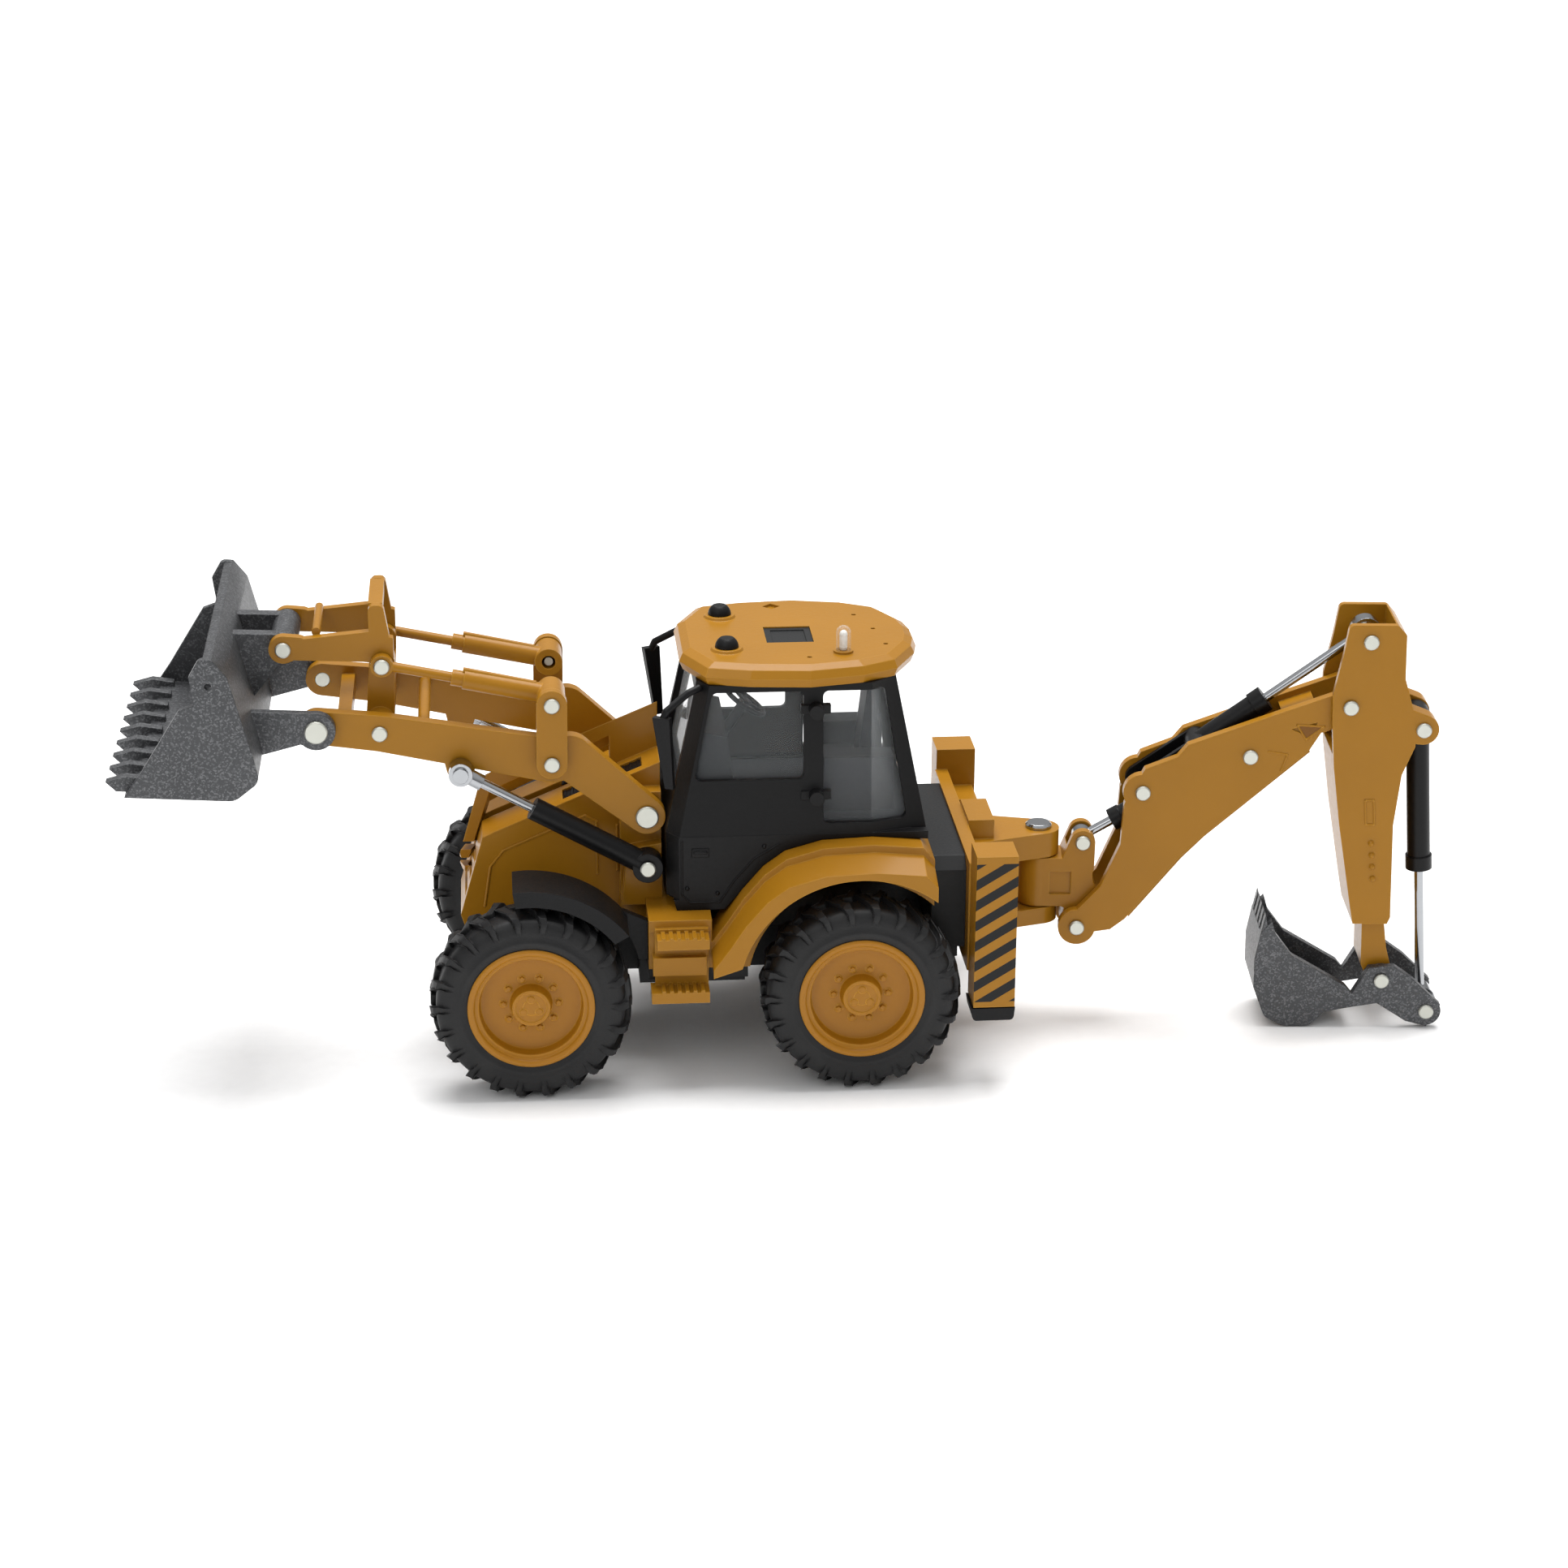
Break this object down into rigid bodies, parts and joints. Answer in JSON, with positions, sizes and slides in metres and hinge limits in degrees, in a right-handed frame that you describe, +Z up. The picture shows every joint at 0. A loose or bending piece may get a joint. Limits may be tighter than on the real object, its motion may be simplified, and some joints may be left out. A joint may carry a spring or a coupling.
{
  "type": "toy backhoe loader",
  "caption": "Die-cast toy wheeled loader with a front bucket on lifting arms and a swinging digger arm with its own bucket and rams behind the cab.",
  "frame": {"origin": "middle of the footprint at ground level, on the centre plane", "axes": "-X points to the front of the machine (the loader bucket), +X to the rear digger arm, -Y to the machine's left, +Z up"},
  "size_m": [0.1838, 0.05, 0.0648],
  "materials": {
    "ochre_enamel": "gloss enamel, ochre",
    "rim_enamel": "gloss enamel, golden ochre",
    "cast_grey": "dark grey metallic enamel over a cast surface",
    "black_plastic": "satin moulded plastic",
    "grey_plastic": "matt moulded plastic",
    "tyre_rubber": "matt soft rubber",
    "chrome_rod": "bright plated",
    "rivet_steel": "plated steel, bright",
    "clear_glazing": "clear moulded plastic"
  },
  "bodies": {
    "chassis": {"chassis_base": "black_plastic", "chassis_screws": "rivet_steel", "hood_shell": "ochre_enamel", "chassis_rivets": "rivet_steel", "rear_body": "ochre_enamel", "front_fender_right": "black_plastic", "front_fender_left": "black_plastic", "cab_frame": "black_plastic", "cab_glazing": "clear_glazing", "cab_roof": "ochre_enamel", "roof_hatch": "grey_plastic", "roof_lamps": "black_plastic", "beacon_lens": "clear_glazing", "mirror_arm_right": "black_plastic", "mirror_arm_left": "black_plastic", "cab_interior": "grey_plastic", "steering_wheel": "grey_plastic", "rear_deck": "ochre_enamel", "rear_frame": "ochre_enamel", "kingpin": "chrome_rod"},
    "front_wheels": {"front_axle": "chrome_rod", "front_rim_right": "rim_enamel", "front_rim_left": "rim_enamel", "front_tyre_right": "tyre_rubber", "front_tyre_left": "tyre_rubber"},
    "rear_wheels": {"rear_axle": "chrome_rod", "rear_rim_right": "rim_enamel", "rear_rim_left": "rim_enamel", "rear_tyre_right": "tyre_rubber", "rear_tyre_left": "tyre_rubber"},
    "loader_arms": {"loader_arms": "ochre_enamel", "arm_rivets": "rivet_steel"},
    "lift_barrels": {"lift_barrels": "black_plastic"},
    "lift_rods": {"lift_rods": "chrome_rod"},
    "loader_bucket": {"loader_bucket": "cast_grey", "bucket_rivets": "rivet_steel"},
    "tilt_lever": {"tilt_lever": "ochre_enamel", "lever_rivets": "rivet_steel"},
    "tilt_link": {"tilt_link": "ochre_enamel", "link_rivets": "rivet_steel"},
    "tilt_struts": {"tilt_struts": "ochre_enamel"},
    "rockers": {"rockers": "ochre_enamel", "rocker_rivets": "rivet_steel"},
    "stabiliser_right": {"stabiliser_leg_right": "black_plastic"},
    "stabiliser_left": {"stabiliser_leg_left": "black_plastic"},
    "swing_post": {"swing_post": "ochre_enamel", "post_rivets": "rivet_steel"},
    "boom": {"boom": "ochre_enamel", "boom_rivets": "rivet_steel"},
    "boom_ram_rod": {"boom_ram_rod": "chrome_rod"},
    "boom_ram_barrel": {"boom_ram_barrel": "black_plastic"},
    "dipper": {"dipper": "ochre_enamel", "dipper_rivets": "rivet_steel"},
    "dipper_ram_barrel": {"dipper_ram_barrel": "black_plastic"},
    "dipper_ram_rod": {"dipper_ram_rod": "chrome_rod"},
    "hoe_bucket": {"hoe_bucket": "cast_grey", "hoe_rivet": "rivet_steel"},
    "crowd_ram_barrel": {"crowd_ram_barrel": "black_plastic"},
    "crowd_ram_rod": {"crowd_ram_rod": "chrome_rod"}
  },
  "joints": [
    {"name": "front_wheels_roll", "type": "hinge", "parent": "chassis", "child": "front_wheels", "pos_m": [-0.03737, 0, 0.0136], "axis": [0, 1, 0], "continuous": true},
    {"name": "rear_wheels_roll", "type": "hinge", "parent": "chassis", "child": "rear_wheels", "pos_m": [0.00703, 0, 0.0136], "axis": [0, 1, 0], "continuous": true},
    {"name": "loader_lift", "type": "hinge", "parent": "chassis", "child": "loader_arms", "pos_m": [-0.02107, 0, 0.0354], "axis": [0, 1, 0], "range_deg": [-40, 28]},
    {"name": "lift_ram_swing", "type": "hinge", "parent": "chassis", "child": "lift_barrels", "pos_m": [-0.02117, 0, 0.0291], "axis": [0, 1, 0], "range_deg": [-37.01, 25.9]},
    {"name": "lift_ram_stroke", "type": "slide", "parent": "lift_barrels", "child": "lift_rods", "axis": [-0.8708, 0, 0.4916], "range_m": [-0.00356, 0.00249]},
    {"name": "bucket_tilt", "type": "hinge", "parent": "loader_arms", "child": "loader_bucket", "pos_m": [-0.06487, 0, 0.0492], "axis": [0, -1, 0], "range_deg": [-35, 35]},
    {"name": "lever_swing", "type": "hinge", "parent": "loader_arms", "child": "tilt_lever", "pos_m": [-0.05657, 0, 0.0482], "axis": [0, -1, 0], "range_deg": [-36.45, 36.45]},
    {"name": "link_swing", "type": "hinge", "parent": "tilt_lever", "child": "tilt_link", "pos_m": [-0.05607, 0, 0.0568], "axis": [0, -1, 0], "range_deg": [-23.72, 23.72]},
    {"name": "strut_swing", "type": "hinge", "parent": "tilt_lever", "child": "tilt_struts", "pos_m": [-0.05607, 0, 0.0568], "axis": [0, -1, 0], "range_deg": [-37.15, 37.15]},
    {"name": "rocker_swing", "type": "hinge", "parent": "loader_arms", "child": "rockers", "pos_m": [-0.03377, 0, 0.0438], "axis": [0, -1, 0], "range_deg": [-38.17, 38.17]},
    {"name": "stabiliser_right_drop", "type": "slide", "parent": "chassis", "child": "stabiliser_right", "axis": [0, 0, -1], "range_m": [0, 0.0092]},
    {"name": "stabiliser_left_drop", "type": "slide", "parent": "chassis", "child": "stabiliser_left", "axis": [0, 0, -1], "range_m": [0, 0.0092]},
    {"name": "hoe_swing", "type": "hinge", "parent": "chassis", "child": "swing_post", "pos_m": [0.03433, 0, 0.0136], "axis": [0, 0, 1], "range_deg": [-62, 74]},
    {"name": "boom_lift", "type": "hinge", "parent": "swing_post", "child": "boom", "pos_m": [0.03981, -0.00051, 0.0147], "axis": [-0.0924, -0.9957, 0], "range_deg": [-35, 15]},
    {"name": "boom_ram_swing", "type": "hinge", "parent": "swing_post", "child": "boom_ram_rod", "pos_m": [0.04041, -0.00056, 0.0268], "axis": [-0.0924, -0.9957, 0], "range_deg": [-40.21, 17.23]},
    {"name": "boom_ram_stroke", "type": "slide", "parent": "boom_ram_rod", "child": "boom_ram_barrel", "axis": [0.8538, -0.0792, 0.5145], "range_m": [-0.0027, 0.0063]},
    {"name": "dipper_crowd", "type": "hinge", "parent": "boom", "child": "dipper", "pos_m": [0.07595, -0.00386, 0.048], "axis": [-0.0924, -0.9957, 0], "range_deg": [-17, 35]},
    {"name": "dipper_ram_swing", "type": "hinge", "parent": "boom", "child": "dipper_ram_barrel", "pos_m": [0.04827, -0.00129, 0.0349], "axis": [-0.0924, -0.9957, 0], "range_deg": [-2.94, 6.05]},
    {"name": "dipper_ram_stroke", "type": "slide", "parent": "dipper_ram_barrel", "child": "dipper_ram_rod", "axis": [0.7966, -0.0739, 0.6], "range_m": [-0.0042, 0.00204]},
    {"name": "hoe_bucket_curl", "type": "hinge", "parent": "dipper", "child": "hoe_bucket", "pos_m": [0.08272, -0.00449, 0.0073], "axis": [-0.0924, -0.9957, 0], "range_deg": [-30, 30]},
    {"name": "crowd_ram_swing", "type": "hinge", "parent": "dipper", "child": "crowd_ram_barrel", "pos_m": [0.08611, -0.0048, 0.0448], "axis": [-0.0924, -0.9957, 0], "range_deg": [-3.57, 3.57]},
    {"name": "crowd_ram_stroke", "type": "slide", "parent": "crowd_ram_barrel", "child": "crowd_ram_rod", "axis": [0.0753, -0.007, -0.9971], "range_m": [-0.00316, 0.00316]}
  ],
  "couplings": [
    {"joint": "lift_ram_swing", "follows": "loader_lift", "ratio": 0.9247},
    {"joint": "lift_ram_stroke", "follows": "loader_lift", "m_per_rad": 0.0050957},
    {"joint": "lever_swing", "follows": "bucket_tilt", "ratio": 1.041},
    {"joint": "link_swing", "follows": "bucket_tilt", "ratio": -0.6775},
    {"joint": "strut_swing", "follows": "bucket_tilt", "ratio": -1.0608},
    {"joint": "rocker_swing", "follows": "bucket_tilt", "ratio": 1.0901},
    {"joint": "boom_ram_swing", "follows": "boom_lift", "ratio": 1.1483},
    {"joint": "boom_ram_stroke", "follows": "boom_lift", "m_per_rad": -0.010308},
    {"joint": "dipper_ram_swing", "follows": "dipper_crowd", "ratio": 0.1727},
    {"joint": "dipper_ram_stroke", "follows": "dipper_crowd", "m_per_rad": -0.0068661},
    {"joint": "crowd_ram_swing", "follows": "hoe_bucket_curl", "ratio": 0.1188},
    {"joint": "crowd_ram_stroke", "follows": "hoe_bucket_curl", "m_per_rad": -0.0060316}
  ]
}
